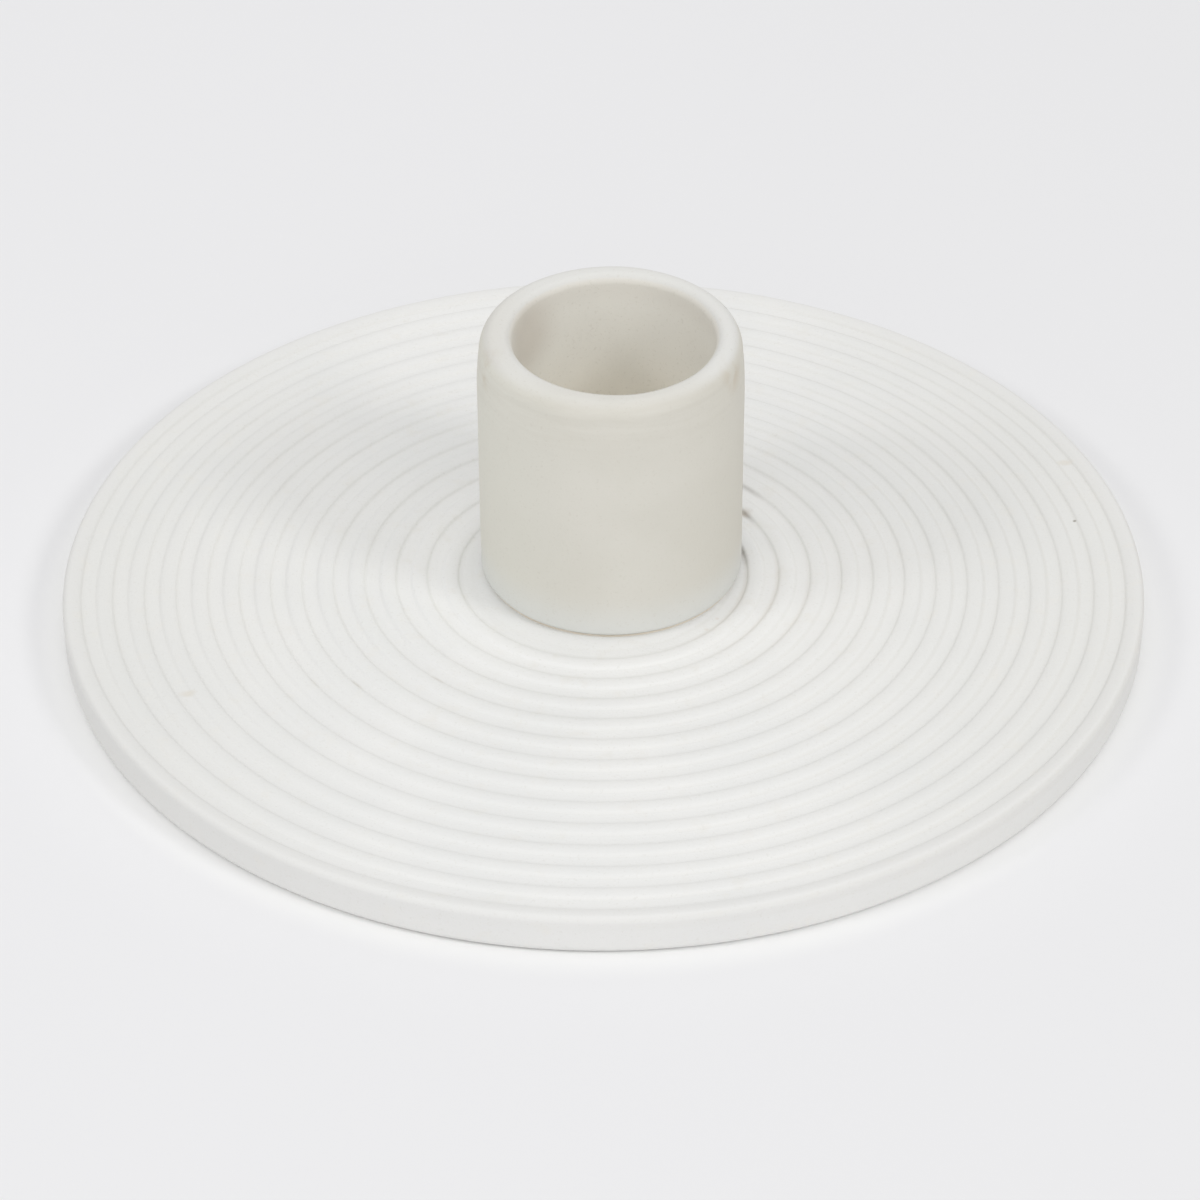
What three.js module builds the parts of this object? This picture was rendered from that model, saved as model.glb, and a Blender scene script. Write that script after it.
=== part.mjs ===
// Ceramic taper candle holder: a flat round dish with low ribs, and a straight candle cup that is
// stuck to it with slip, a little off the middle, as a hand would set it.
// Millimetres, +Z up. The origin is the centre of the dish's underside.
import * as THREE from "three";

// Dish
const DISH_DIAMETER = 120;
const LEDGE_THICKNESS = 3.75; // underside to the flat ledges between the ribs
const SEAT_DIAMETER = 32.04; // smooth middle, out to the foot of the first rib
const RIB_PITCH = 3.485;
const RIB_WIDTH = 2.1;
const RIB_STEP = 0.12; // height of the small slope at each side of a rib
const RIB_STEP_RUN = 0.28; // how far the inner slope takes to rise
const RIB_OUTER_RUN = 0.45; // how far the outer slope takes, which is gentler
const RIB_DOME = 0.15; // how far the middle of a rib stands above its slopes
const RIM_LIFT = 0.5; // how far the dish curls up towards its rim
const RIM_LIFT_REACH = 20; // width of the margin that curls up
const RIM_BAND_WIDTH = 1.6; // least width of the raised band at the rim
const RIM_BAND_RISE = 0.45; // foot of the band to the top of the rim
const RIM_ROUND = 0.7; // upper edge of the rim
const UNDERSIDE_ROUND = 1.1; // lower edge of the rim

// Candle cup
const CANDLE_DIAMETER = 21.5;
const CANDLE_CLEARANCE = 0.3; // all round the candle
const CUP_WALL = 3.48;
const CUP_HEIGHT = 30.15;
const CUP_FLOOR = 8;
const CUP_OFFSET_X = 0.93; // off the dish's centre
const CUP_OFFSET_Y = 1.95;
const BORE_OFFSET_X = 0.36; // off the cup's own axis
const LIP_TAPER = 0.25; // how far the wall draws in below the lip
const LIP_TAPER_DOWN = 6; // from the top of the lip to where the wall starts to draw in
const LIP_ROUND_OUT = 1.7; // how far the outer round of the lip reaches across the wall
const LIP_ROUND_DOWN = 2.2; // how far it reaches down the wall
const LIP_ROUND_IN = 1.1; // edge between the lip and the bore
const FOOT_ROUND = 0.75; // lower edge of the cup

// Slip between the cup and the dish
const SLIP_THICKNESS = 0.3;
const SLIP_RECESS = 2.64; // how far the slip stays inside the edge of the smooth seat

// Facets
const DISH_SIDES = 60;
const CUP_SIDES = 48;
const DOME_STEPS = 4; // across the middle of one rib
const ROUND_STEPS = 4;

const dishRadius = DISH_DIAMETER / 2;
const seatRadius = SEAT_DIAMETER / 2;
const boreRadius = CANDLE_DIAMETER / 2 + CANDLE_CLEARANCE;
const cupRadius = boreRadius + CUP_WALL;
const lipRadius = cupRadius - LIP_TAPER;
const footRadius = cupRadius - FOOT_ROUND;
const slipRadius = seatRadius - SLIP_RECESS;
const lipMiddle = (boreRadius + LIP_ROUND_IN + lipRadius - LIP_ROUND_OUT) / 2;
const ribCount = Math.max(1, Math.floor((dishRadius - RIM_BAND_WIDTH - seatRadius) / RIB_PITCH));
const bandRadius = ribStart(ribCount);

// Radius of a rib's inner foot. The ribs count outwards from 0, and the one after the last is the rim's band.
function ribStart(rib) {
  return seatRadius + RIB_PITCH * rib;
}

// Height of the flat ledges, which curl up a little towards the rim.
function ledgeHeight(radius) {
  const share = Math.max(0, radius - bandRadius + RIM_LIFT_REACH) / RIM_LIFT_REACH;
  return LEDGE_THICKNESS + RIM_LIFT * share ** 3;
}

// Points along a quarter round, from startAngle to endAngle about (radius, height).
function quarterRound(radius, height, reachOut, reachUp, startAngle, endAngle) {
  const clockwise = endAngle < startAngle;
  const curve = new THREE.EllipseCurve(radius, height, reachOut, reachUp, startAngle, endAngle, clockwise);
  return curve.getPoints(ROUND_STEPS).map((point) => [point.x, point.y]);
}

// A solid of revolution about +Z, from a profile of (radius, height) points going up its outside.
function turned(profile, sides) {
  const points = profile.map(([radius, height]) => new THREE.Vector2(radius, height));
  const geometry = new THREE.LatheGeometry(points, sides);
  geometry.rotateX(Math.PI / 2);
  return geometry;
}

// One rib from its outer foot inwards: a slope up, a low dome and a slope down.
function ribProfile(rib) {
  const inner = ribStart(rib);
  const outer = inner + RIB_WIDTH;
  const profile = [[outer, ledgeHeight(outer)]];
  for (let step = 0; step <= DOME_STEPS; step += 1) {
    const across = step / DOME_STEPS;
    const radius = outer - RIB_OUTER_RUN - (RIB_WIDTH - RIB_OUTER_RUN - RIB_STEP_RUN) * across;
    profile.push([radius, ledgeHeight(radius) + RIB_STEP + RIB_DOME * Math.sin(Math.PI * across)]);
  }
  profile.push([inner, ledgeHeight(inner)]);
  return profile;
}

// The dish: underside, rim, then the ribs inwards to the smooth seat.
function dishProfile() {
  const rimTop = ledgeHeight(bandRadius) + RIM_BAND_RISE;
  const profile = [
    [0, 0],
    ...quarterRound(dishRadius - UNDERSIDE_ROUND, UNDERSIDE_ROUND,
      UNDERSIDE_ROUND, UNDERSIDE_ROUND, -Math.PI / 2, 0),
    ...quarterRound(dishRadius - RIM_ROUND, rimTop - RIM_ROUND, RIM_ROUND, RIM_ROUND, 0, Math.PI / 2),
    [bandRadius + RIB_STEP_RUN, ledgeHeight(bandRadius) + RIB_STEP],
    [bandRadius, ledgeHeight(bandRadius)],
  ];
  for (let rib = ribCount - 1; rib >= 0; rib -= 1) {
    profile.push(...ribProfile(rib));
  }
  profile.push([0, LEDGE_THICKNESS]);
  return profile;
}

// The cup: foot, outer wall, rounded lip, bore and the floor that the candle stands on.
function cupProfile() {
  return [
    [0, 0],
    ...quarterRound(footRadius, FOOT_ROUND, FOOT_ROUND, FOOT_ROUND, -Math.PI / 2, 0),
    [cupRadius, CUP_HEIGHT - LIP_TAPER_DOWN],
    ...quarterRound(lipRadius - LIP_ROUND_OUT, CUP_HEIGHT - LIP_ROUND_DOWN,
      LIP_ROUND_OUT, LIP_ROUND_DOWN, 0, Math.PI / 2),
    ...quarterRound(boreRadius + LIP_ROUND_IN, CUP_HEIGHT - LIP_ROUND_IN,
      LIP_ROUND_IN, LIP_ROUND_IN, Math.PI / 2, Math.PI),
    [boreRadius, CUP_FLOOR],
    [0, CUP_FLOOR],
  ];
}

// Moves the bore sideways in the turned cup: its floor, its wall and the inner half of the lip.
function shiftBore(geometry) {
  const points = geometry.getAttribute("position");
  for (let index = 0; index < points.count; index += 1) {
    const out = Math.hypot(points.getX(index), points.getY(index));
    if (out < lipMiddle && points.getZ(index) > CUP_FLOOR / 2) {
      points.setX(index, points.getX(index) + BORE_OFFSET_X);
    }
  }
  return geometry;
}

// The slip: a thin round layer that the cup's foot was pressed into.
function slipProfile() {
  return [
    [0, 0],
    [slipRadius, 0],
    [slipRadius, SLIP_THICKNESS],
    [0, SLIP_THICKNESS],
  ];
}

function piece(name, geometry, colour, roughness) {
  const material = new THREE.MeshStandardMaterial({ color: colour, roughness, metalness: 0 });
  const mesh = new THREE.Mesh(geometry, material);
  mesh.name = name;
  return mesh;
}

const ribbedDish = piece("ribbed_dish", turned(dishProfile(), DISH_SIDES), 0xe7e7e4, 0.85);
const slipJoint = piece("slip_joint", turned(slipProfile(), CUP_SIDES), 0xded4c6, 0.95);
const candleCup = piece("candle_cup", shiftBore(turned(cupProfile(), CUP_SIDES)), 0xdddad0, 0.85);
candleCup.position.z = SLIP_THICKNESS;

const cupAssembly = new THREE.Group();
cupAssembly.position.set(CUP_OFFSET_X, CUP_OFFSET_Y, LEDGE_THICKNESS);
cupAssembly.add(slipJoint, candleCup);

const candleHolder = new THREE.Group();
candleHolder.add(ribbedDish, cupAssembly);

export default candleHolder;
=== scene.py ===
"""A ceramic taper candle holder: a ribbed dish, a candle cup, and the slip that sticks the cup on."""

from math import cos, pi, radians, sin

import bpy
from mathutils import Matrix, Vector


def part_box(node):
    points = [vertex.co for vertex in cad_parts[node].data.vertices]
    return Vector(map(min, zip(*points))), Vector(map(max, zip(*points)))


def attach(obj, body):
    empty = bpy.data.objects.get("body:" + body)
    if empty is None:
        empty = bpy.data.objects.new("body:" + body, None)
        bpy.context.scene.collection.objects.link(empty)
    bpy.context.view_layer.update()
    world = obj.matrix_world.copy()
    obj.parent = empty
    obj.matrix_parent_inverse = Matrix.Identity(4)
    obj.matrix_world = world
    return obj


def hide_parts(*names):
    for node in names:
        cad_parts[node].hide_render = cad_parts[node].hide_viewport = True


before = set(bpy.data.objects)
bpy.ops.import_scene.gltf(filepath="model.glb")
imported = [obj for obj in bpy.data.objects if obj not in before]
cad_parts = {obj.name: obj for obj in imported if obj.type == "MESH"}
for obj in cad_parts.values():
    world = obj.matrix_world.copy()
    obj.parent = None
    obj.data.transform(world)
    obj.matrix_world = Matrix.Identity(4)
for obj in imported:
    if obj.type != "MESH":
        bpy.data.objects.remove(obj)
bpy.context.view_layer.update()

MM = 0.001

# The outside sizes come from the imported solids.
dish_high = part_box("ribbed_dish")[1]
cup_low, cup_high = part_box("candle_cup")
slip_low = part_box("slip_joint")[0]

# Dish
DISH_RADIUS = dish_high.x
DISH_CENTRE = Vector((0, 0, 0))
LEDGE_LEVEL = slip_low.z
SEAT_RADIUS = 16.02 * MM
SEAT_STEP_RADIUS = 14.4 * MM
SEAT_STEP = 0.08 * MM
RIB_PITCH = 3.485 * MM
RIB_COUNT = 12
RIB_WIDTH = 2.1 * MM
RIB_STEP = 0.12 * MM
RIB_STEP_RUN = 0.28 * MM
RIB_OUTER_RUN = 0.45 * MM
RIB_DOME = 0.15 * MM
LEDGE_HOLLOW = 0.035 * MM
LAST_LEDGE_SHARE = 0.9
BAND_RADIUS = SEAT_RADIUS + RIB_PITCH * RIB_COUNT
RIM_LIFT = 0.5 * MM
RIM_LIFT_REACH = 20 * MM
RIM_BAND_RISE = 0.45 * MM
RIM_ROUND = 0.7 * MM
UNDERSIDE_ROUND = 1.1 * MM
RIM_TOP = LEDGE_LEVEL + RIM_LIFT + RIM_BAND_RISE
DISH_WAVE = 14 * MM
DISH_WAVE_DEPTH = 0.06 * MM
DISH_EVEN_BELOW = 1.5 * MM

# Candle cup
CUP_CENTRE = (cup_low + cup_high) / 2
CUP_RADIUS = (cup_high.x - cup_low.x) / 2
CUP_FOOT = cup_low.z
CUP_TOP = cup_high.z
CUP_WALL = 3.48 * MM
CUP_FLOOR = 8 * MM
BORE_RADIUS = CUP_RADIUS - CUP_WALL
BORE_CORNER = 0.4 * MM
BORE_OFFSET = 0.36 * MM
LIP_TAPER = 0.25 * MM
LIP_TAPER_DOWN = 6 * MM
LIP_ROUND_OUT = 1.7 * MM
LIP_ROUND_DOWN = 2.2 * MM
LIP_ROUND_IN = 1.1 * MM
LIP_LEAN = radians(1.2)
LEAN_DOWN = 12 * MM
LEAN_BANDS = 8
FOOT_ROUND = 0.75 * MM
CUP_WAVE = 9 * MM
CUP_WAVE_DEPTH = 0.14 * MM
CUP_EVEN_FOOT = 1.5 * MM

# Slip
SLIP_RADIUS = 13.95 * MM
SLIP_LUMP_ANGLE = radians(-41.4)
SLIP_LUMP_SIZE = Vector((0.2, 0.35, 0.2)) * MM
SLIP_LUMP_OUT = 0.1 * MM
SLIP_LUMP_WAVE = 0.3 * MM
SLIP_LUMP_WAVE_DEPTH = 0.2 * MM

# How finely the outlines are drawn and spun
DISH_STEPS = 300
CUP_STEPS = 200
SLIP_STEPS = 160
FLAT_POINTS = 6
RIB_SLOPE_POINTS = 4
RIB_OUTER_POINTS = 5
RIB_DOME_POINTS = 6
LEDGE_POINTS = 4
SEAT_POINTS = 3
RIM_WALL_POINTS = 4
RIM_ROUND_POINTS = 10
RIM_BAND_POINTS = 10
UNDERSIDE_POINTS = 8
FOOT_POINTS = 6
CUP_FLAT_POINTS = 4
CUP_WALL_POINTS = 28
LIP_TAPER_POINTS = 8
LIP_OUT_POINTS = 14
LIP_IN_POINTS = 12
SLIP_FLAT_POINTS = 3
SLIP_EDGE_POINTS = 6
LUMP_SEGMENTS = 24
LUMP_RINGS = 16
SAME_POINT = 0.002 * MM

# Marks from the kiln and from use, and dark grooves of dirt and painted shade, as places on the dish in
# millimetres
BEIGE_STAINS = ((53.5, 20.4, 4), (-44.6, -21.95, 4))
GROOVE_DEPOSITS = ((-31.8, -20.4, 3.5), (-26.7, -20.6, 3.5), (-18.15, -19.95, 3.5))
SLIP_SPECKS = ((12.5, -8.8, 3.5), (13.6, -9.0, 3.5), (11.3, -10.8, 3.5))
BROWN_GROOVES = (15, -6, 3.5)
DARK_SMEAR = (16.2, 11.2, 3.5)
DARK_DOT = (53.5, 9.0, 4)
# The dark grooves beside the cup, dirt and painted shade where the cup's shadow falls, each with its size in
# millimetres and its strength
DARK_GROOVE_DIRT_AND_SHADE = (
    ((15.3, 4.2, 3.5), 4.2, 0.4),
    ((15.5, 11.6, 3.5), 3.4, 0.4),
    ((16.0, 16.4, 3.5), 4.2, 0.22),
)

# Marks on the cup in millimetres, with their height above the dish's ledges
LIP_SMUDGES = ((-12.4, -2.3, 28.6), (14.1, -3.8, 28.7))
LIP_DOT = (13.3, 7.5, 29.8)
# Painted shade on the bore's left and right walls, each with its strength
BORE_SIDE_SHADES = (((-8.3, 7.4, 26.0), 0.5), ((10.8, 7.4, 26.0), 0.08))

# Patterns in the clay, the slip and the paper: the higher the number, the finer
DISH_CLOUDS = 55
DISH_BLOTCHES = 420
DISH_SPECKS = 3200
DISH_GRAIN = 2600
DUST_PATCHES = 160
STAIN_PATCHES = 1500
CUP_CLOUDS = 90
CUP_SPECKS = 3000
CUP_GRAIN = 2400
BRUSH_MARKS = 130
SMUDGE_PATCHES = 450
SLIP_PATCHES = 700
SLIP_GRAIN = 1800
PAPER_CLOUDS = 30
PAPER_GRAIN = 900
SIMPLE_DETAIL = 2
PATCH_DETAIL = 3
GRAIN_DETAIL = 4
GRAIN_COARSENESS = 0.6

# Surface of the finishes
CLAY_ROUGHNESS = 0.9
SLIP_ROUGHNESS = 0.95
PAPER_ROUGHNESS = 0.95
MATTE_SHEEN = 0.25
GRAIN_STRENGTH = 0.6
CLAY_GRAIN_DEPTH = 0.05 * MM
SLIP_GRAIN_DEPTH = 0.08 * MM
PAPER_GRAIN_DEPTH = 0.01 * MM

# In what follows a span says where a tone begins and where it is full, and a share how strong it gets.
CLOUD_SPAN = (0.35, 0.65)
SPECK_SPAN = (0.58, 0.75)
SPECK_SHARE = 0.25
DOT_SHARE = 0.7
SPOT_CORE = 0.2

# Clay of the dish
CLAY_WHITE = (0.821, 0.823, 0.811, 1)
CLAY_WARM_WHITE = (0.846, 0.844, 0.829, 1)
# Painted shade: the dish is painted darker towards its left and right sides.
CLAY_SIDE_SHADE = (0.725, 0.722, 0.695, 1)
SIDE_SHADE_MIDDLE = -3 * MM
SIDE_SHADE_SPAN = (12 * MM, 58 * MM)
SIDE_SHADE_SHARE = 0.53
# Painted light: the dish is painted lighter round the cup, against the shade the cup throws there, but not
# close to its foot.
CLAY_LIT_NEAR_CUP = (0.95, 0.95, 0.94, 1)
LIT_NEAR_CUP_DISH_SPAN = (27 * MM, 14 * MM)
LIT_NEAR_CUP_FOOT_SPAN = (15 * MM, 21 * MM)
LIT_NEAR_CUP_SHARE = 0.5
# Painted shade: the outermost two millimetres of the dish are painted darker.
CLAY_RIM_SHADE = (0.775, 0.77, 0.755, 1)
RIM_SHADE_SPAN = (57 * MM, 59 * MM)
RIM_SHADE_SHARE = 0.5
CLAY_BLOTCH = (0.80, 0.78, 0.73, 1)
BLOTCH_SPAN = (0.55, 0.8)
BLOTCH_SHARE = 0.35
CLAY_SPECK = (0.67, 0.655, 0.61, 1)

# Dust at the feet of the ribs; along the outer feet dust and painted crease shade, more on the right
GROOVE_DUST_AND_SHADE = (0.46, 0.42, 0.31, 1)
DUST_AND_SHADE_TOP_SPAN = (LEDGE_LEVEL - 0.8 * MM, LEDGE_LEVEL - 0.3 * MM)
DUST_PATCH_SPAN = (0.3, 0.75)
WIPED_SPAN = (-12 * MM, -36 * MM)
WIPED_SHARE = 0.9
INNER_FOOT_OUT = 0.05 * MM
INNER_DUST_WIDTH = 0.6 * MM
INNER_DUST_SHARE = 0.02
DIRT_LINE_SPAN = (0.2 * MM, 0.03 * MM)
DIRT_LINE_SHARE = 0.04
# Dust and painted crease shade along the outer feet of the ribs, stronger on the right
OUTER_FOOT_IN = 0.1 * MM
OUTER_DUST_AND_SHADE_WIDTH = 0.35 * MM
OUTER_DUST_AND_SHADE_SHARE = 0.015
RIGHT_DUST_AND_SHADE_SPAN = (-20 * MM, 30 * MM)
RIGHT_DUST_AND_SHADE_SHARE = 0.065

# Stains of the dish, and the dark dirt with painted shade in the grooves beside the cup
STAIN_LEAST = 0.5
STAINED_GROOVE_WIDTH = 0.55 * MM
BEIGE = (0.62, 0.52, 0.36, 1)
BEIGE_SIZE = 1.0 * MM
BEIGE_STRETCH = (1.3, 0.8, 2)
BEIGE_SHARE = 0.22
DEPOSIT = (0.45, 0.38, 0.26, 1)
DEPOSIT_SIZE = 1.4 * MM
DEPOSIT_WIDTH = 0.4 * MM
DEPOSIT_SHARE = 0.25
SPLASHED_SLIP = (0.6, 0.46, 0.35, 1)
SPLASH_SIZE = 0.45 * MM
SPLASH_SHARE = 0.3
BROWN_DIRT = (0.4, 0.27, 0.13, 1)
BROWN_SIZE = 13 * MM
BROWN_SHARE = 0.1
DARK_DIRT_AND_SHADE = (0.12, 0.095, 0.06, 1)
SMEARED_DIRT = (0.35, 0.24, 0.12, 1)
SMEAR_SIZE = 1.3 * MM
SMEAR_SHARE = 0.25
DISH_DOT = (0.2, 0.17, 0.13, 1)
DISH_DOT_SIZE = 0.3 * MM

# Clay of the cup
CUP_CLAY = (0.687, 0.668, 0.606, 1)
CUP_CLAY_LIGHT = (0.709, 0.69, 0.631, 1)
# Painted light on the cup's left side and painted shade on its right side
CUP_LIT_LEFT = (0.75, 0.74, 0.67, 1)
CUP_LIT_LEFT_SPAN = (0, -14 * MM)
CUP_LIT_LEFT_SHARE = 0.85
CUP_SHADED_RIGHT = (0.65, 0.625, 0.555, 1)
CUP_SHADED_RIGHT_SPAN = (2 * MM, 15 * MM)
CUP_SHADED_RIGHT_SHARE = 0.42
BRUSHED = (0.58, 0.55, 0.48, 1)
BRUSHED_SPAN = (CUP_TOP - 9 * MM, CUP_TOP - 2 * MM)
BRUSH_MARK_SPAN = (0.3, 0.7)
BRUSH_MARK_FLATNESS = (1, 1, 9)
BRUSHED_SHARE = 0.22
# Painted light: the cup's lowest six millimetres are painted paler, as light thrown up from the dish
FOOT_BOUNCE_LIGHT = (0.76, 0.785, 0.785, 1)
FOOT_BOUNCE_LIGHT_SPAN = (CUP_FOOT + 6 * MM, CUP_FOOT)
FOOT_BOUNCE_LIGHT_SHARE = 0.55
CUP_SPECK = (0.6, 0.57, 0.5, 1)

# Lip of the cup
LIP_SPONGED = (0.757, 0.753, 0.727, 1)
LIP_SPAN = (CUP_TOP - 1.1 * MM, CUP_TOP - 0.2 * MM)
LIP_LEFT = (0.68, 0.655, 0.595, 1)
LIP_LEFT_SPAN = (-6 * MM, -14 * MM)
LIP_LEFT_SHARE = 0.5
LIP_WORN_SPAN = (CUP_CENTRE.y - 5 * MM, CUP_CENTRE.y - 13 * MM)
LIP_WORN_SHARE = 0.6
FINGER_SMUDGE = (0.5, 0.4, 0.27, 1)
SMUDGE_SIZE = 3.0 * MM
SMUDGE_PATCH_SPAN = (0.4, 0.65)
SMUDGE_SHARE = 0.3
CUP_DOT = (0.16, 0.14, 0.12, 1)
CUP_DOT_SIZE = 0.5 * MM

# Bore of the cup, painted lighter than its clay and lighter still deep down, as painted light
BORE_LIT_CLAY = (0.835, 0.82, 0.77, 1)
BORE_SPAN = (BORE_RADIUS + 0.4 * MM, BORE_RADIUS + 0.1 * MM)
BORE_DEEP_LIGHT = (0.93, 0.895, 0.815, 1)
BORE_DEEP_LIGHT_SPAN = (CUP_TOP - 6 * MM, CUP_TOP - 20 * MM)
BORE_SMOKE_AND_SHADE = (0.58, 0.52, 0.45, 1)
SMOKED_SPAN = (CUP_TOP - 4 * MM, CUP_TOP - 1.2 * MM)
SMOKED_SHARE = 0.15
BORE_SHADE_SIZE = 6.5 * MM

# Slip, and the paper under the holder
# The slip's own pale brown, painted lighter as painted light against the shade of the gap under the cup's
# foot
SLIP_LIT_BROWN = (0.68, 0.61, 0.5, 1)
SLIP_LIT_PALE = (0.82, 0.76, 0.67, 1)
PAPER = (0.836, 0.835, 0.847, 1)
PAPER_LIGHT = (0.842, 0.841, 0.853, 1)
# Painted shade: the paper is painted darker towards the right
PAPER_SHADED_RIGHT = (0.812, 0.811, 0.82, 1)
PAPER_SHADED_RIGHT_SPAN = (-50 * MM, 150 * MM)
PAPER_SHADED_RIGHT_SHARE = 0.9
# Painted light: the paper is painted whiter close round the dish, against the shade and shadow the dish
# casts, and whiter still on its left
PAPER_LIT_NEAR_DISH = (0.94, 0.94, 0.937, 1)
PAPER_LIT_CLOSE_SPAN = (64.2 * MM, 59.5 * MM)
PAPER_LIT_CLOSE_SHARE = 0.9
PAPER_LIT_WIDER_SPAN = (74 * MM, 62 * MM)
PAPER_LIT_WIDER_SHARE = 0.1
PAPER_LIT_LEFT = (1, 1, 1, 1)
PAPER_LIT_LEFT_SPAN = (-30 * MM, -58 * MM)
PAPER_LIT_LEFT_SHARE = 0.4
FLOOR_SIZE = 8
FLOOR_LEVEL = -0.02 * MM

# Studio: the tent's light overhead, at front and back alike, and what is added in front and taken off behind
TENT_OVERHEAD = 0.812
TENT_FRONT_AND_BACK = 0.679
TENT_FRONT_MORE = 0.169
BACKDROP = 0.84
# Direction, and share of the light on a level white surface
LEFT_LAMP = ((-0.715, -0.275, 0.643), 0.066)
RIGHT_LAMP = ((0.642, -0.417, 0.643), 0.104)
LAMP_WIDTH = 0.3
LAMP_DISTANCE = 1.2

# Camera, as the photograph was taken: 1200 by 1200 pixels
PHOTO_SIZE = 1200
VIEW_TILT = radians(36.48)
VIEW_ROLL = radians(-0.28)
VIEW_DISTANCE = 444.5 * MM
VIEW_FOCAL_PIXELS = 3982
DISH_CENTRE_PIXEL = (603.15, 571.99)
SENSOR = 36
NEAREST_SEEN = 0.01


def smooth(share):
    """A rise from 0 to 1 that starts and ends level."""
    share = min(max(share, 0), 1)
    return share * share * (3 - 2 * share)


def quarter_round(centre, reach, start, end, count):
    """Points of a rounded edge, as (radius, height), from the start angle to the end angle."""
    points = []
    for step in range(count + 1):
        angle = start + (end - start) * step / count
        points.append((centre[0] + reach[0] * cos(angle), centre[1] + reach[1] * sin(angle)))
    return points


def straight(start, end, count):
    """Points between two points, without the first one."""
    points = []
    for step in range(1, count + 1):
        share = step / count
        points.append((start[0] + (end[0] - start[0]) * share, start[1] + (end[1] - start[1]) * share))
    return points


def ledge_height(radius):
    """The level of the ledges between the ribs, which curl up a little towards the rim."""
    share = max(0, radius - BAND_RADIUS + RIM_LIFT_REACH) / RIM_LIFT_REACH
    return LEDGE_LEVEL + RIM_LIFT * share ** 3


def turn_on_wheel(name, outline, axis, steps):
    """Draws an outline of (radius, height) points with extrusions and spins it round an upright axis."""
    bpy.ops.object.select_all(action="DESELECT")
    bpy.ops.mesh.primitive_plane_add(size=MM, location=(0, 0, 0))
    piece = bpy.context.object
    piece.name = name
    piece.data.name = name
    bpy.ops.object.mode_set(mode="EDIT")
    bpy.ops.mesh.select_all(action="SELECT")
    bpy.ops.mesh.merge(type="CENTER")
    bpy.ops.transform.translate(value=(axis.x + outline[0][0], axis.y, outline[0][1]))
    for here, there in zip(outline, outline[1:]):
        step = (there[0] - here[0], 0, there[1] - here[1])
        bpy.ops.mesh.extrude_region_move(TRANSFORM_OT_translate={"value": step})
    bpy.ops.mesh.select_all(action="SELECT")
    bpy.ops.mesh.spin(steps=steps, angle=2 * pi, center=(axis.x, axis.y, 0), axis=(0, 0, 1))
    bpy.ops.mesh.select_all(action="SELECT")
    bpy.ops.mesh.remove_doubles(threshold=SAME_POINT)
    bpy.ops.mesh.normals_make_consistent(inside=False)
    bpy.ops.object.mode_set(mode="OBJECT")
    bpy.ops.object.shade_smooth()
    return piece


def hand_unevenness(piece, name, size, depth, above):
    """Moves the surface in and out a little, as clay that was shaped by hand, above a height."""
    group = piece.vertex_groups.new(name=name)
    touched = [vertex.index for vertex in piece.data.vertices if vertex.co.z > above]
    group.add(touched, 1.0, "REPLACE")
    clay = bpy.data.textures.new(name, "CLOUDS")
    clay.noise_scale = size
    clay.noise_depth = 1
    press = piece.modifiers.new(name, "DISPLACE")
    press.texture = clay
    press.texture_coords = "LOCAL"
    press.strength = depth
    press.mid_level = 0.5
    press.vertex_group = name
    bpy.ops.object.modifier_apply(modifier=press.name)


def rib_outline(rib):
    """One rib from its outer foot inwards: a slope, a low dome, a slope, then the ledge inside it."""
    inner = SEAT_RADIUS + RIB_PITCH * rib
    dome_width = RIB_WIDTH - RIB_STEP_RUN - RIB_OUTER_RUN
    outs = [RIB_STEP_RUN * step / RIB_SLOPE_POINTS for step in range(RIB_SLOPE_POINTS + 1)]
    outs += [RIB_STEP_RUN + dome_width * step / RIB_DOME_POINTS for step in range(1, RIB_DOME_POINTS)]
    outs += [RIB_WIDTH - RIB_OUTER_RUN * step / RIB_OUTER_POINTS for step in range(RIB_OUTER_POINTS, -1, -1)]
    points = []
    for out in reversed(outs):
        step = smooth(out / RIB_STEP_RUN) * smooth((RIB_WIDTH - out) / RIB_OUTER_RUN)
        rise = RIB_STEP * step + RIB_DOME * sin(pi * out / RIB_WIDTH)
        points.append((inner + out, ledge_height(inner + out) + rise))
    if rib > 0:
        ledge_width = RIB_PITCH - RIB_WIDTH
        for step in range(1, LEDGE_POINTS):
            share = step / LEDGE_POINTS
            radius = inner - ledge_width * share
            points.append((radius, ledge_height(radius) - LEDGE_HOLLOW * sin(pi * share)))
    return points


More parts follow.
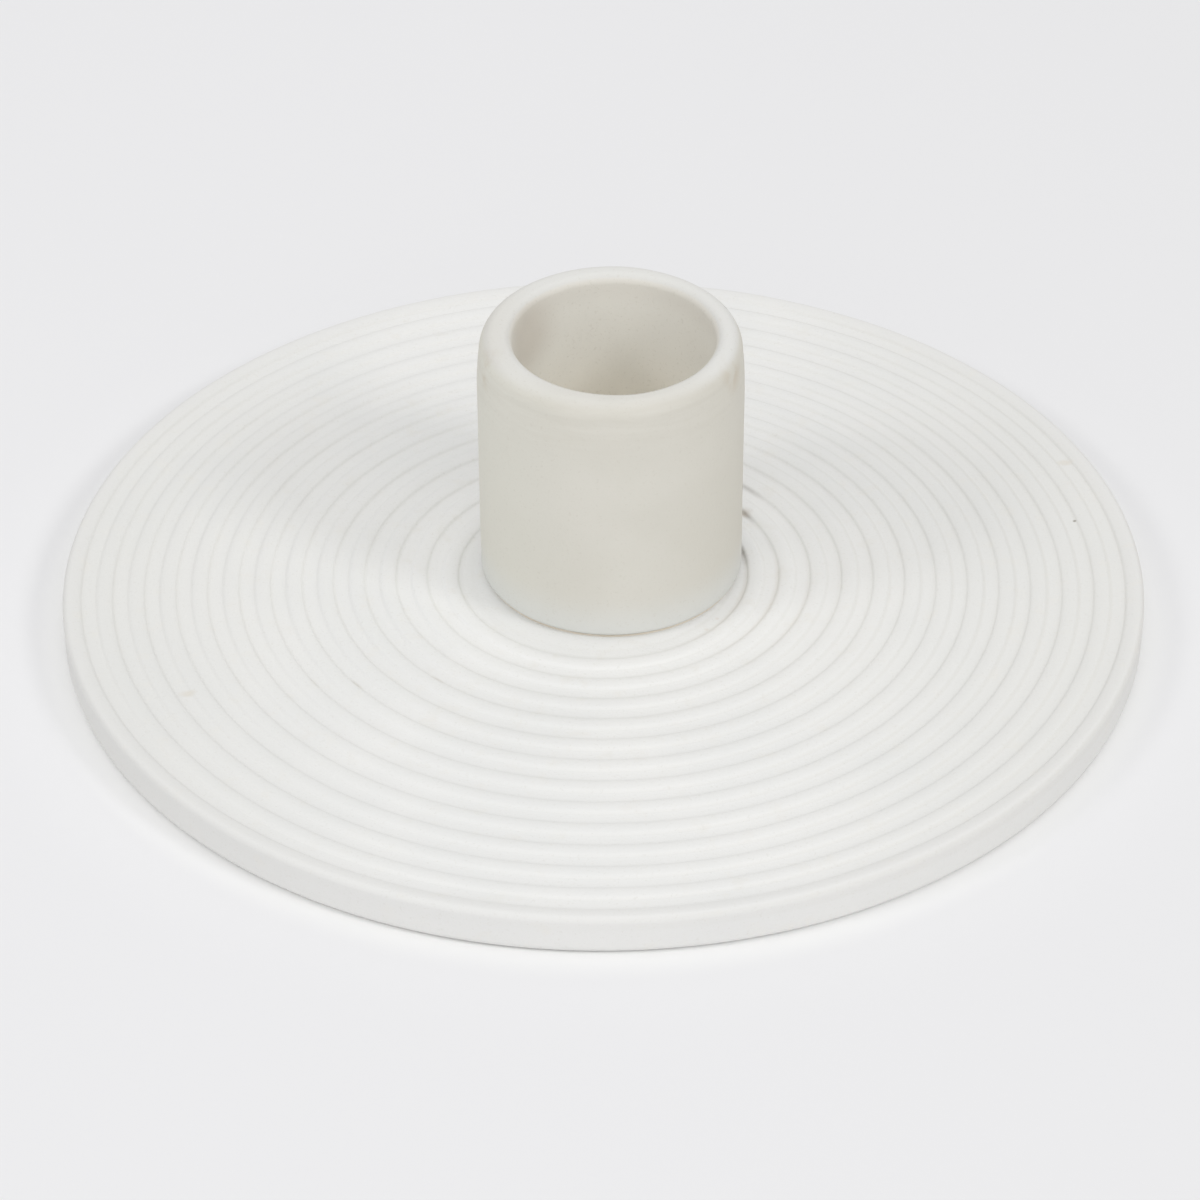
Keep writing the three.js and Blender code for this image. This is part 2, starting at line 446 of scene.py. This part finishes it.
def rim_outline():
    """From the middle of the underside, round the rim and over its band to the last ledge."""
    flat = DISH_RADIUS - UNDERSIDE_ROUND
    rim_crest = DISH_RADIUS - RIM_ROUND
    band_width = rim_crest - BAND_RADIUS
    lower = (UNDERSIDE_ROUND, UNDERSIDE_ROUND)
    upper = (RIM_ROUND, RIM_ROUND)
    outline = [(0, 0)] + straight((0, 0), (flat, 0), FLAT_POINTS)
    outline += quarter_round((flat, UNDERSIDE_ROUND), lower, -pi / 2, 0, UNDERSIDE_POINTS)[1:]
    outline += straight(outline[-1], (DISH_RADIUS, RIM_TOP - RIM_ROUND), RIM_WALL_POINTS)
    outline += quarter_round((rim_crest, RIM_TOP - RIM_ROUND), upper, 0, pi / 2, RIM_ROUND_POINTS)[1:]
    for step in range(1, RIM_BAND_POINTS + 1):
        out = band_width * (1 - step / RIM_BAND_POINTS) ** 2
        rise = RIB_STEP * smooth(out / RIB_STEP_RUN)
        rise += (RIM_BAND_RISE - RIB_STEP) * sin(pi / 2 * out / band_width)
        outline.append((BAND_RADIUS + out, LEDGE_LEVEL + RIM_LIFT + rise))
    last_ledge = BAND_RADIUS - (RIB_PITCH - RIB_WIDTH) * LAST_LEDGE_SHARE
    return outline + straight(outline[-1], (last_ledge, ledge_height(last_ledge)), SEAT_POINTS)


def make_ribbed_dish():
    outline = rim_outline()
    for rib in range(RIB_COUNT - 1, -1, -1):
        outline += rib_outline(rib)
    outline += straight(outline[-1], (SEAT_STEP_RADIUS, LEDGE_LEVEL), SEAT_POINTS)
    outline.append((SEAT_STEP_RADIUS - RIB_STEP_RUN, LEDGE_LEVEL + SEAT_STEP))
    outline += straight(outline[-1], (0, LEDGE_LEVEL + SEAT_STEP), FLAT_POINTS)
    dish = turn_on_wheel("dish", outline, DISH_CENTRE, DISH_STEPS)
    hand_unevenness(dish, "dish_unevenness", DISH_WAVE, DISH_WAVE_DEPTH, DISH_EVEN_BELOW)
    return dish


def pick(piece, wanted):
    """Opens a piece with only those of its points selected that are wanted."""
    bpy.ops.object.mode_set(mode="EDIT")
    bpy.ops.mesh.select_all(action="DESELECT")
    bpy.ops.object.mode_set(mode="OBJECT")
    for vertex in piece.data.vertices:
        vertex.select = wanted(vertex.co)
    bpy.ops.object.mode_set(mode="EDIT")


def lean_lip(cup):
    """Turns the cup's upper bands a little further each, so that the lip stands higher at the back."""
    top_centre = (CUP_CENTRE.x, CUP_CENTRE.y, CUP_TOP)
    turn = -LIP_LEAN / LEAN_BANDS
    for band in range(LEAN_BANDS):
        above = CUP_TOP - LEAN_DOWN * (1 - band / LEAN_BANDS)
        pick(cup, lambda point: point.z > above)
        bpy.ops.transform.rotate(value=turn, orient_axis="X", center_override=top_centre)
        bpy.ops.object.mode_set(mode="OBJECT")


def shift_bore(cup):
    """Moves the bore and the inner half of the lip sideways, off the cup's own axis."""
    lip_middle = (BORE_RADIUS + LIP_ROUND_IN + CUP_RADIUS - LIP_TAPER - LIP_ROUND_OUT) / 2
    floor_below = CUP_FOOT + CUP_FLOOR / 2

    def in_bore(point):
        return (point - CUP_CENTRE).to_2d().length < lip_middle and point.z > floor_below

    pick(cup, in_bore)
    bpy.ops.transform.translate(value=(BORE_OFFSET, 0, 0))
    bpy.ops.object.mode_set(mode="OBJECT")


def make_candle_cup():
    foot = CUP_RADIUS - FOOT_ROUND
    foot_reach = (FOOT_ROUND, FOOT_ROUND)
    outline = [(0, CUP_FOOT)] + straight((0, CUP_FOOT), (foot, CUP_FOOT), CUP_FLAT_POINTS)
    outline += quarter_round((foot, CUP_FOOT + FOOT_ROUND), foot_reach, -pi / 2, 0, FOOT_POINTS)[1:]
    outline += straight(outline[-1], (CUP_RADIUS, CUP_TOP - LIP_TAPER_DOWN), CUP_WALL_POINTS)
    for step in range(1, LIP_TAPER_POINTS + 1):
        share = step / LIP_TAPER_POINTS
        height = CUP_TOP - LIP_TAPER_DOWN + (LIP_TAPER_DOWN - LIP_ROUND_DOWN) * share
        outline.append((CUP_RADIUS - LIP_TAPER * share ** 2, height))
    outside = (CUP_RADIUS - LIP_TAPER - LIP_ROUND_OUT, CUP_TOP - LIP_ROUND_DOWN)
    outline += quarter_round(outside, (LIP_ROUND_OUT, LIP_ROUND_DOWN), 0, pi / 2, LIP_OUT_POINTS)[1:]
    inside = (BORE_RADIUS + LIP_ROUND_IN, CUP_TOP - LIP_ROUND_IN)
    outline += quarter_round(inside, (LIP_ROUND_IN, LIP_ROUND_IN), pi / 2, pi, LIP_IN_POINTS)
    corner = (BORE_RADIUS - BORE_CORNER, CUP_FOOT + CUP_FLOOR + BORE_CORNER)
    outline += straight(outline[-1], (BORE_RADIUS, corner[1]), CUP_WALL_POINTS)
    outline += quarter_round(corner, (BORE_CORNER, BORE_CORNER), 0, -pi / 2, CUP_FLAT_POINTS)[1:]
    outline += straight(outline[-1], (0, CUP_FOOT + CUP_FLOOR), CUP_FLAT_POINTS)
    cup = turn_on_wheel("cup", outline, CUP_CENTRE, CUP_STEPS)
    shift_bore(cup)
    lean_lip(cup)
    hand_unevenness(cup, "cup_unevenness", CUP_WAVE, CUP_WAVE_DEPTH, CUP_FOOT + CUP_EVEN_FOOT)
    return cup


def make_slip_lump():
    """The little lump that was squeezed out at the right front of the cup's foot."""
    towards = Vector((cos(SLIP_LUMP_ANGLE), sin(SLIP_LUMP_ANGLE), 0))
    foot_centre = Vector((CUP_CENTRE.x, CUP_CENTRE.y, CUP_FOOT))
    bpy.ops.object.select_all(action="DESELECT")
    bpy.ops.mesh.primitive_uv_sphere_add(
        segments=LUMP_SEGMENTS, ring_count=LUMP_RINGS, radius=1, location=(0, 0, 0)
    )
    lump = bpy.context.object
    bpy.ops.object.mode_set(mode="EDIT")
    bpy.ops.mesh.select_all(action="SELECT")
    bpy.ops.transform.resize(value=SLIP_LUMP_SIZE)
    bpy.ops.transform.rotate(value=-SLIP_LUMP_ANGLE, orient_axis="Z", center_override=(0, 0, 0))
    bpy.ops.transform.translate(value=foot_centre + towards * (SLIP_RADIUS + SLIP_LUMP_OUT))
    bpy.ops.object.mode_set(mode="OBJECT")
    bpy.ops.object.shade_smooth()
    hand_unevenness(lump, "lump_unevenness", SLIP_LUMP_WAVE, SLIP_LUMP_WAVE_DEPTH, 0)
    return lump


def make_slip_joint():
    middle = (LEDGE_LEVEL + CUP_FOOT) / 2
    bulge = (CUP_FOOT - LEDGE_LEVEL) / 2
    outline = [(0, LEDGE_LEVEL)] + straight((0, LEDGE_LEVEL), (SLIP_RADIUS, LEDGE_LEVEL), SLIP_FLAT_POINTS)
    outline += quarter_round((SLIP_RADIUS, middle), (bulge, bulge), -pi / 2, pi / 2, SLIP_EDGE_POINTS)[1:]
    outline += straight(outline[-1], (0, CUP_FOOT), SLIP_FLAT_POINTS)
    slip = turn_on_wheel("slip", outline, CUP_CENTRE, SLIP_STEPS)
    lump = make_slip_lump()
    lump.select_set(True)
    slip.select_set(True)
    bpy.context.view_layer.objects.active = slip
    bpy.ops.object.join()
    return slip


class Flow:
    """A value that flows between the nodes of a finish, so that sums and products read as such."""

    def __init__(self, finish, socket):
        self.finish = finish
        self.socket = socket

    def work(self, operation, first, second):
        return self.finish.node("ShaderNodeMath", {"operation": operation}, {0: first, 1: second})

    def __add__(self, other):
        return self.work("ADD", self, other)

    def __radd__(self, other):
        return self.work("ADD", other, self)

    def __sub__(self, other):
        return self.work("SUBTRACT", self, other)

    def __rsub__(self, other):
        return self.work("SUBTRACT", other, self)

    def __mul__(self, other):
        return self.work("MULTIPLY", self, other)

    def __rmul__(self, other):
        return self.work("MULTIPLY", other, self)

    def __truediv__(self, other):
        return self.work("DIVIDE", self, other)

    def __rtruediv__(self, other):
        return self.work("DIVIDE", other, self)

    def __abs__(self):
        return self.finish.node("ShaderNodeMath", {"operation": "ABSOLUTE"}, {0: self})


class Finish:
    """A material, or the world's light, built from nodes."""

    def __init__(self, tree):
        self.tree = tree
        tree.nodes.clear()

    def node(self, kind, settings=None, sockets=None, out=0):
        """One node: its settings first, then the values or links of its sockets. Gives the named output."""
        made = self.tree.nodes.new(kind)
        for key, value in (settings or {}).items():
            setattr(made, key, value)
        for key, value in (sockets or {}).items():
            socket = made.inputs[key] if isinstance(key, int) else self.find(made.inputs, key)
            if isinstance(value, Flow):
                self.tree.links.new(value.socket, socket)
            else:
                socket.default_value = value
        if made.outputs:
            return Flow(self, made.outputs[out] if isinstance(out, int) else self.find(made.outputs, out))

    def find(self, sockets, key):
        for socket in sockets:
            if socket.identifier == key:
                return socket
        return sockets[key]

    def place(self):
        return self.node("ShaderNodeTexCoord", out="Object")

    def along(self, place, axis):
        """One coordinate of a place: X to the right, Y to the back or Z up."""
        return self.node("ShaderNodeSeparateXYZ", {}, {"Vector": place}, axis)

    def vectors(self, operation, first, second):
        return self.node("ShaderNodeVectorMath", {"operation": operation}, {0: first, 1: second}, "Vector")

    def length(self, vector):
        return self.node("ShaderNodeVectorMath", {"operation": "LENGTH"}, {0: vector}, "Value")

    def away_from(self, place, centre):
        """Distance from an upright axis."""
        offset = self.vectors("SUBTRACT", place, centre)
        return self.length(self.vectors("MULTIPLY", offset, (1, 1, 0)))

    def from_ring(self, out, radius):
        """Distance to the nearest of the rings that start at a radius and repeat with the ribs."""
        turns = (out - radius) / RIB_PITCH
        return self.node("ShaderNodeMath", {"operation": "PINGPONG"}, {0: turns, 1: 0.5}) * RIB_PITCH

    def noise(self, place, scale, detail, rough=0.5):
        values = {"Vector": place, "Scale": scale, "Detail": detail, "Roughness": rough}
        return self.node("ShaderNodeTexNoise", {}, values, "Fac")

    def fade(self, value, start, end):
        """0 up to start and 1 from end on, smooth between; or the other way round if end is the lower."""
        sockets = {"Value": value, "From Min": start, "From Max": end}
        return self.node("ShaderNodeMapRange", {"interpolation_type": "SMOOTHSTEP", "clamp": True}, sockets)

    def tint(self, share, under, over):
        sockets = {"Factor_Float": share, "A_Color": under, "B_Color": over}
        return self.node("ShaderNodeMix", {"data_type": "RGBA"}, sockets, "Result_Color")

    def spot(self, place, centre, size, stretch=(1, 1, 1)):
        """1 in the middle of a soft spot and 0 outside it."""
        offset = self.vectors("SUBTRACT", place, centre)
        away = self.length(self.vectors("DIVIDE", offset, stretch))
        return self.fade(away, size, size * SPOT_CORE)

    def fired(self, colour, roughness, grain, grain_depth):
        """The matte surface that the finishes share."""
        relief = {"Strength": GRAIN_STRENGTH, "Distance": grain_depth, "Height": grain}
        bump = self.node("ShaderNodeBump", {}, relief, "Normal")
        values = {
            "Base Color": colour, "Roughness": roughness,
            "Specular IOR Level": MATTE_SHEEN, "Normal": bump,
        }
        body = self.node("ShaderNodeBsdfPrincipled", {}, values, "BSDF")
        self.node("ShaderNodeOutputMaterial", {}, {"Surface": body})


def new_finish(name):
    material = bpy.data.materials.new(name)
    material.use_nodes = True
    return material, Finish(material.node_tree)


def on_dish(mark):
    return Vector(mark) * MM


def on_cup(mark):
    return Vector(mark) * MM + Vector((0, 0, LEDGE_LEVEL))


def dish_clay(finish, place, out):
    """Cloudy white clay with blotches and specks, painted shade at the left and right sides and at the rim,
    and painted light round the cup.
    """
    cloudy = finish.noise(place, DISH_CLOUDS, PATCH_DETAIL)
    colour = finish.tint(finish.fade(cloudy, *CLOUD_SPAN), CLAY_WHITE, CLAY_WARM_WHITE)
    sideways = abs(finish.along(place, "X") - SIDE_SHADE_MIDDLE)
    colour = finish.tint(finish.fade(sideways, *SIDE_SHADE_SPAN) * SIDE_SHADE_SHARE, colour, CLAY_SIDE_SHADE)
    from_cup = finish.away_from(place, CUP_CENTRE)
    cup_light = finish.fade(out, *LIT_NEAR_CUP_DISH_SPAN) * finish.fade(from_cup, *LIT_NEAR_CUP_FOOT_SPAN)
    colour = finish.tint(cup_light * LIT_NEAR_CUP_SHARE, colour, CLAY_LIT_NEAR_CUP)
    colour = finish.tint(finish.fade(out, *RIM_SHADE_SPAN) * RIM_SHADE_SHARE, colour, CLAY_RIM_SHADE)
    blotch = finish.noise(place, DISH_BLOTCHES, PATCH_DETAIL)
    colour = finish.tint(finish.fade(blotch, *BLOTCH_SPAN) * BLOTCH_SHARE, colour, CLAY_BLOTCH)
    speck = finish.noise(place, DISH_SPECKS, SIMPLE_DETAIL)
    return finish.tint(finish.fade(speck, *SPECK_SPAN) * SPECK_SHARE, colour, CLAY_SPECK)


def groove_dust_and_shade(finish, place, out, from_foot, colour):
    """Dust at the ribs' feet: the inner ones wiped at the front, the outer ones dust and painted crease
    shade, darker on the right.
    """
    from_outer = finish.from_ring(out, SEAT_RADIUS + RIB_WIDTH - OUTER_FOOT_IN)
    on_top = finish.fade(finish.along(place, "Z"), *DUST_AND_SHADE_TOP_SPAN)
    patchy = finish.fade(finish.noise(place, DUST_PATCHES, GRAIN_DETAIL), *DUST_PATCH_SPAN)
    wiped = 1 - WIPED_SHARE * finish.fade(finish.along(place, "Y"), *WIPED_SPAN)
    on_right = finish.fade(finish.along(place, "X"), *RIGHT_DUST_AND_SHADE_SPAN)
    inner_dust = finish.fade(from_foot, INNER_DUST_WIDTH, 0) * INNER_DUST_SHARE * wiped
    outer_share = OUTER_DUST_AND_SHADE_SHARE + RIGHT_DUST_AND_SHADE_SHARE * on_right
    outer_dust_and_shade = finish.fade(from_outer, OUTER_DUST_AND_SHADE_WIDTH, 0) * outer_share
    line = finish.fade(from_foot, *DIRT_LINE_SPAN) * DIRT_LINE_SHARE * patchy * wiped
    return finish.tint(on_top * (inner_dust + outer_dust_and_shade + line), colour, GROOVE_DUST_AND_SHADE)


def dish_stains(finish, place, from_foot, colour):
    """Single stains, and the dirt and painted shade in the grooves to the right of the cup."""
    ragged = STAIN_LEAST + finish.noise(place, STAIN_PATCHES, PATCH_DETAIL)
    for mark in BEIGE_STAINS:
        stain = finish.spot(place, on_dish(mark), BEIGE_SIZE, BEIGE_STRETCH) * ragged
        colour = finish.tint(stain * BEIGE_SHARE, colour, BEIGE)
    for mark in GROOVE_DEPOSITS:
        stain = finish.spot(place, on_dish(mark), DEPOSIT_SIZE) * finish.fade(from_foot, DEPOSIT_WIDTH, 0)
        colour = finish.tint(stain * DEPOSIT_SHARE, colour, DEPOSIT)
    for mark in SLIP_SPECKS:
        stain = finish.spot(place, on_dish(mark), SPLASH_SIZE) * ragged
        colour = finish.tint(stain * SPLASH_SHARE, colour, SPLASHED_SLIP)
    in_groove = finish.fade(from_foot, STAINED_GROOVE_WIDTH, 0)
    brown = finish.spot(place, on_dish(BROWN_GROOVES), BROWN_SIZE) * in_groove * ragged
    colour = finish.tint(brown * BROWN_SHARE, colour, BROWN_DIRT)
    # Dark dirt and painted shade in the grooves beside the cup
    for mark, size, strength in DARK_GROOVE_DIRT_AND_SHADE:
        stain = finish.spot(place, on_dish(mark), size * MM) * in_groove * ragged
        colour = finish.tint(stain * strength, colour, DARK_DIRT_AND_SHADE)
    smear = finish.spot(place, on_dish(DARK_SMEAR), SMEAR_SIZE) * ragged
    colour = finish.tint(smear * SMEAR_SHARE, colour, SMEARED_DIRT)
    dot = finish.spot(place, on_dish(DARK_DOT), DISH_DOT_SIZE)
    return finish.tint(dot * DOT_SHARE, colour, DISH_DOT)


def dish_bisque():
    """Unglazed white clay with painted light and shade, a little dust and painted crease shade along the feet
    of the ribs, and a few stains.
    """
    material, finish = new_finish("dish_bisque")
    place = finish.place()
    out = finish.away_from(place, DISH_CENTRE)
    from_foot = finish.from_ring(out, SEAT_RADIUS + INNER_FOOT_OUT)
    colour = dish_clay(finish, place, out)
    colour = groove_dust_and_shade(finish, place, out, from_foot, colour)
    colour = dish_stains(finish, place, from_foot, colour)
    grain = finish.noise(place, DISH_GRAIN, GRAIN_DETAIL, GRAIN_COARSENESS)
    finish.fired(colour, CLAY_ROUGHNESS, grain, CLAY_GRAIN_DEPTH)
    return material


def cup_wall_clay(finish, place, across, up):
    """Warm clay, painted lighter on the left and darker on the right as painted light and shade, with brush
    marks below the lip.
    """
    cloudy = finish.noise(place, CUP_CLOUDS, PATCH_DETAIL)
    wall = finish.tint(finish.fade(cloudy, *CLOUD_SPAN), CUP_CLAY, CUP_CLAY_LIGHT)
    wall = finish.tint(finish.fade(across, *CUP_LIT_LEFT_SPAN) * CUP_LIT_LEFT_SHARE, wall, CUP_LIT_LEFT)
    wall = finish.tint(finish.fade(across, *CUP_SHADED_RIGHT_SPAN) * CUP_SHADED_RIGHT_SHARE, wall, CUP_SHADED_RIGHT)
    flattened = finish.vectors("MULTIPLY", place, BRUSH_MARK_FLATNESS)
    marks = finish.fade(finish.noise(flattened, BRUSH_MARKS, PATCH_DETAIL), *BRUSH_MARK_SPAN)
    brushed = finish.fade(up, *BRUSHED_SPAN) * marks
    return finish.tint(brushed * BRUSHED_SHARE, wall, BRUSHED)


def cup_lip_clay(finish, place, across, up, wall):
    """The sponged lip over the wall's clay, browner on the left and partly worn off in front."""
    tone = finish.tint(finish.fade(across, *LIP_LEFT_SPAN) * LIP_LEFT_SHARE, LIP_SPONGED, LIP_LEFT)
    worn = finish.fade(finish.along(place, "Y"), *LIP_WORN_SPAN)
    return finish.tint(finish.fade(up, *LIP_SPAN) * (1 - LIP_WORN_SHARE * worn), wall, tone)


def cup_bore_clay(finish, place, up):
    """Clay painted lighter in the bore and lighter still deep down as painted light, smoked below the lip,
    with painted shade at the sides.
    """
    inside = finish.tint(finish.fade(up, *BORE_DEEP_LIGHT_SPAN), BORE_LIT_CLAY, BORE_DEEP_LIGHT)
    inside = finish.tint(finish.fade(up, *SMOKED_SPAN) * SMOKED_SHARE, inside, BORE_SMOKE_AND_SHADE)
    # Painted shade on the bore's left and right walls
    for mark, strength in BORE_SIDE_SHADES:
        stain = finish.spot(place, on_cup(mark), BORE_SHADE_SIZE)
        inside = finish.tint(stain * strength, inside, BORE_SMOKE_AND_SHADE)
    return inside


def cup_bisque():
    """Warmer clay on the cup's wall, whiter where the lip was sponged, smudged by fingers and smoke, with
    painted light at the foot and in the bore and painted light and shade on the wall.
    """
    material, finish = new_finish("cup_bisque")
    place = finish.place()
    across = finish.along(place, "X")
    up = finish.along(place, "Z")
    wall = cup_wall_clay(finish, place, across, up)
    colour = cup_lip_clay(finish, place, across, up, wall)
    from_bore = finish.away_from(place, CUP_CENTRE + Vector((BORE_OFFSET, 0, 0)))
    colour = finish.tint(finish.fade(from_bore, *BORE_SPAN), colour, cup_bore_clay(finish, place, up))
    # Painted light thrown up from the dish onto the cup's foot
    colour = finish.tint(finish.fade(up, *FOOT_BOUNCE_LIGHT_SPAN) * FOOT_BOUNCE_LIGHT_SHARE, colour, FOOT_BOUNCE_LIGHT)
    speck = finish.noise(place, CUP_SPECKS, SIMPLE_DETAIL)
    colour = finish.tint(finish.fade(speck, *SPECK_SPAN) * SPECK_SHARE, colour, CUP_SPECK)
    ragged = finish.fade(finish.noise(place, SMUDGE_PATCHES, GRAIN_DETAIL), *SMUDGE_PATCH_SPAN)
    for mark in LIP_SMUDGES:
        stain = finish.spot(place, on_cup(mark), SMUDGE_SIZE) * ragged
        colour = finish.tint(stain * SMUDGE_SHARE, colour, FINGER_SMUDGE)
    dot = finish.spot(place, on_cup(LIP_DOT), CUP_DOT_SIZE)
    colour = finish.tint(dot * DOT_SHARE, colour, CUP_DOT)
    grain = finish.noise(place, CUP_GRAIN, GRAIN_DETAIL, GRAIN_COARSENESS)
    finish.fired(colour, CLAY_ROUGHNESS, grain, CLAY_GRAIN_DEPTH)
    return material


def luting_slip():
    """Fired slip, brown and pale in patches, painted lighter than its own colour as painted light against the
    shade under the cup's foot.
    """
    material, finish = new_finish("luting_slip")
    place = finish.place()
    colour = finish.tint(finish.noise(place, SLIP_PATCHES, PATCH_DETAIL), SLIP_LIT_BROWN, SLIP_LIT_PALE)
    grain = finish.noise(place, SLIP_GRAIN, GRAIN_DETAIL, GRAIN_COARSENESS)
    finish.fired(colour, SLIP_ROUGHNESS, grain, SLIP_GRAIN_DEPTH)
    return material


def studio_paper():
    """Pale paper, painted darker on the right as painted shade, and painted whiter close to the dish and on
    its left as painted light against the dish's shadow.
    """
    material, finish = new_finish("studio_paper")
    place = finish.place()
    colour = finish.tint(finish.noise(place, PAPER_CLOUDS, SIMPLE_DETAIL), PAPER, PAPER_LIGHT)
    across = finish.along(place, "X")
    colour = finish.tint(finish.fade(across, *PAPER_SHADED_RIGHT_SPAN) * PAPER_SHADED_RIGHT_SHARE, colour, PAPER_SHADED_RIGHT)
    # Painted light: whiter close round the dish and on its left, against the shade and shadow the dish casts
    # on the paper
    from_dish = finish.away_from(place, DISH_CENTRE)
    near_dish = finish.fade(from_dish, *PAPER_LIT_CLOSE_SPAN) * PAPER_LIT_CLOSE_SHARE
    near_dish = near_dish + finish.fade(from_dish, *PAPER_LIT_WIDER_SPAN) * PAPER_LIT_WIDER_SHARE
    colour = finish.tint(near_dish, colour, PAPER_LIT_NEAR_DISH)
    left_side = near_dish * finish.fade(across, *PAPER_LIT_LEFT_SPAN)
    colour = finish.tint(left_side * PAPER_LIT_LEFT_SHARE, colour, PAPER_LIT_LEFT)
    grain = finish.noise(place, PAPER_GRAIN, SIMPLE_DETAIL)
    finish.fired(colour, PAPER_ROUGHNESS, grain, PAPER_GRAIN_DEPTH)
    return material


def dress(piece, material, node):
    piece.data.materials.clear()
    piece.data.materials.append(material)
    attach(piece, "root")
    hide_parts(node)


def lay_floor():
    bpy.ops.object.select_all(action="DESELECT")
    bpy.ops.mesh.primitive_plane_add(size=FLOOR_SIZE, location=(0, 0, FLOOR_LEVEL))
    floor = bpy.context.object
    floor.name = "floor"
    floor.data.materials.append(studio_paper())


def hang_lamp(name, direction, share):
    """A round lamp that gives this share of the light on a level white surface."""
    towards = Vector(direction).normalized()
    bpy.ops.object.light_add(type="AREA", location=towards * LAMP_DISTANCE)
    lamp = bpy.context.object
    lamp.name = name
    lamp.data.shape = "DISK"
    lamp.data.size = LAMP_WIDTH
    lamp.data.energy = share * pi * pi * LAMP_DISTANCE * LAMP_DISTANCE / towards.z
    lamp.rotation_mode = "QUATERNION"
    lamp.rotation_quaternion = towards.to_track_quat("Z", "Y")


def light_studio():
    """A soft tent, bright overhead, in front and behind, and two small lamps at the front corners."""
    world = bpy.data.worlds.new("studio_tent")
    bpy.context.scene.world = world
    world.use_nodes = True
    tent = Finish(world.node_tree)
    towards = tent.node("ShaderNodeTexCoord", out="Generated")
    back = tent.along(towards, "Y")
    overhead = TENT_OVERHEAD * tent.along(towards, "Z")
    glow = overhead + TENT_FRONT_AND_BACK * abs(back) - TENT_FRONT_MORE * back
    seen = tent.node("ShaderNodeLightPath", out="Is Camera Ray")
    seen = seen + tent.node("ShaderNodeLightPath", out="Is Glossy Ray")
    seen = seen + tent.node("ShaderNodeLightPath", out="Is Transmission Ray")
    strength = glow * (1 - seen) + BACKDROP * seen
    light = tent.node("ShaderNodeBackground", {}, {"Color": (1, 1, 1, 1), "Strength": strength}, "Background")
    tent.node("ShaderNodeOutputWorld", {}, {"Surface": light})
    hang_lamp("left_lamp", *LEFT_LAMP)
    hang_lamp("right_lamp", *RIGHT_LAMP)


def set_camera():
    forward = Vector((0, cos(VIEW_TILT), -sin(VIEW_TILT)))
    side = Vector((1, 0, 0))
    above = Vector((0, sin(VIEW_TILT), cos(VIEW_TILT)))
    right = side * cos(VIEW_ROLL) + above * sin(VIEW_ROLL)
    up = above * cos(VIEW_ROLL) - side * sin(VIEW_ROLL)
    per_pixel = VIEW_DISTANCE / VIEW_FOCAL_PIXELS
    centre = PHOTO_SIZE / 2
    spot = Vector((0, 0, LEDGE_LEVEL))
    spot -= right * (DISH_CENTRE_PIXEL[0] - centre) * per_pixel
    spot += up * (DISH_CENTRE_PIXEL[1] - centre) * per_pixel
    bpy.ops.object.camera_add(location=spot - forward * VIEW_DISTANCE)
    camera = bpy.context.object
    camera.rotation_mode = "ZYX"
    camera.rotation_euler = (pi / 2 - VIEW_TILT, 0, VIEW_ROLL)
    camera.data.sensor_width = SENSOR
    camera.data.lens = VIEW_FOCAL_PIXELS / PHOTO_SIZE * SENSOR
    camera.data.clip_start = NEAREST_SEEN
    bpy.context.scene.camera = camera


dress(make_ribbed_dish(), dish_bisque(), "ribbed_dish")
dress(make_candle_cup(), cup_bisque(), "candle_cup")
dress(make_slip_joint(), luting_slip(), "slip_joint")
lay_floor()
light_studio()
set_camera()
bpy.context.scene.view_settings.view_transform = "Standard"
